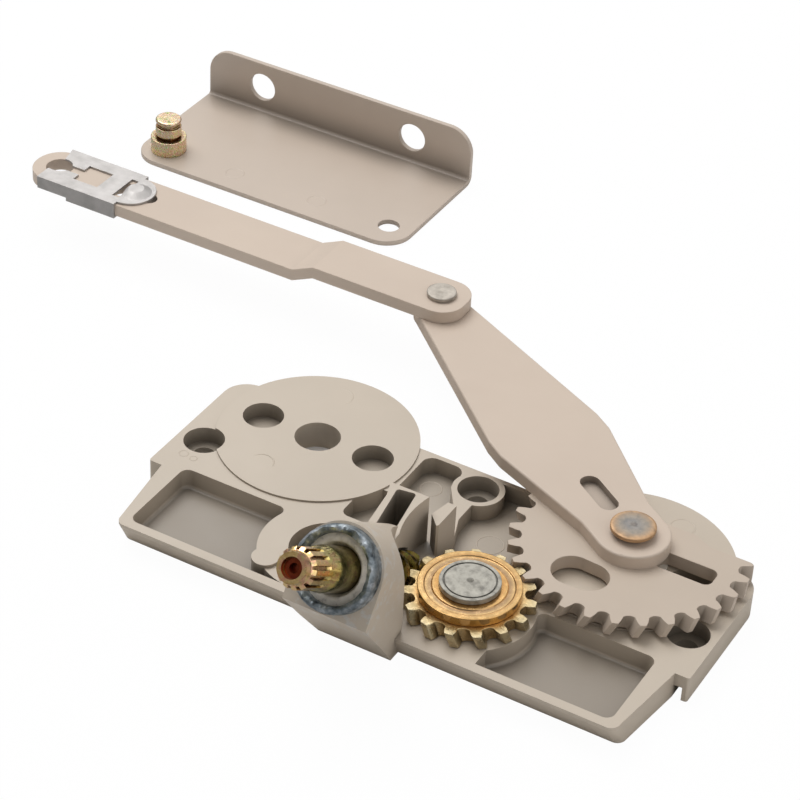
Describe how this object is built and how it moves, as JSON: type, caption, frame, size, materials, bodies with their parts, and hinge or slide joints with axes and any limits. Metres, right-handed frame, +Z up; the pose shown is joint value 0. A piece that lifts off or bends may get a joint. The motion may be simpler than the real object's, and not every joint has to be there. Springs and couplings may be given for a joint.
{
  "type": "casement window operator",
  "caption": "Crank driven casement window operator: splined worm shaft, worm wheel, toothed sector, split arm with joggled link and spring clip, and its sash bracket with a stud.",
  "frame": {"origin": "on the mounting plane, midway between the two disc centres", "axes": "+Z up from the mounting plane, +X along the base towards the arm pivot, the crank shaft points to -Y"},
  "size_m": [0.2105, 0.1931, 0.0405],
  "materials": {
    "casting_paint": "warm beige baked paint",
    "arm_paint": "warm tan baked paint",
    "bracket_paint": "warm beige baked paint",
    "gold_zinc": "yellow chromate zinc plate",
    "bare_steel": "bare grey steel",
    "dark_steel": "dark blue grey turned steel",
    "rivet_copper": "copper toned rivet steel",
    "spring_steel": "pale spring steel",
    "bush_polymer": "beige acetal",
    "seal_rubber": "black rubber"
  },
  "bodies": {
    "base": {"base_casting": "casting_paint", "shaft_bush": "bush_polymer", "shaft_seal": "seal_rubber", "thrust_washer": "bare_steel", "rear_bush": "bush_polymer", "retaining_collar": "dark_steel", "wheel_washer": "gold_zinc", "wheel_pin": "bare_steel", "wheel_spacer": "bare_steel", "sector_spacer": "bush_polymer", "pivot_rivet": "rivet_copper", "pivot_washer": "bare_steel", "sash_bracket": "bracket_paint", "bracket_stud": "gold_zinc"},
    "shaft": {"worm_shaft": "gold_zinc"},
    "wheel": {"worm_wheel": "gold_zinc"},
    "arm": {"sector_gear": "arm_paint", "drive_arm": "arm_paint", "link_rivet": "bare_steel"},
    "link": {"link_arm": "arm_paint"},
    "clip": {"end_clip": "spring_steel"}
  },
  "joints": [
    {"name": "arm_swing", "type": "hinge", "parent": "base", "child": "arm", "pos_m": [0.0375, 0, 0.0072], "axis": [0, 0, 1], "range_deg": [-110, 30]},
    {"name": "wheel_spin", "type": "hinge", "parent": "base", "child": "wheel", "pos_m": [0.0164, -0.03032, 0.0064], "axis": [0, 0, 1], "range_deg": [-57, 207]},
    {"name": "shaft_spin", "type": "hinge", "parent": "base", "child": "shaft", "pos_m": [0, -0.0725, 0.03795], "axis": [0, -0.8111, 0.585], "range_deg": [-3085, 845]},
    {"name": "link_swing", "type": "hinge", "parent": "arm", "child": "link", "pos_m": [-0.03499, 0.04919, 0.0136], "axis": [0, 0, 1], "range_deg": [-31, 111]},
    {"name": "clip_slide", "type": "slide", "parent": "link", "child": "clip", "axis": [1, 0, 0], "range_m": [-0.002, 0.002]}
  ],
  "couplings": [
    {"joint": "wheel_spin", "follows": "arm_swing", "ratio": -1.8667},
    {"joint": "shaft_spin", "follows": "arm_swing", "ratio": 28},
    {"joint": "link_swing", "follows": "arm_swing", "ratio": -1}
  ]
}
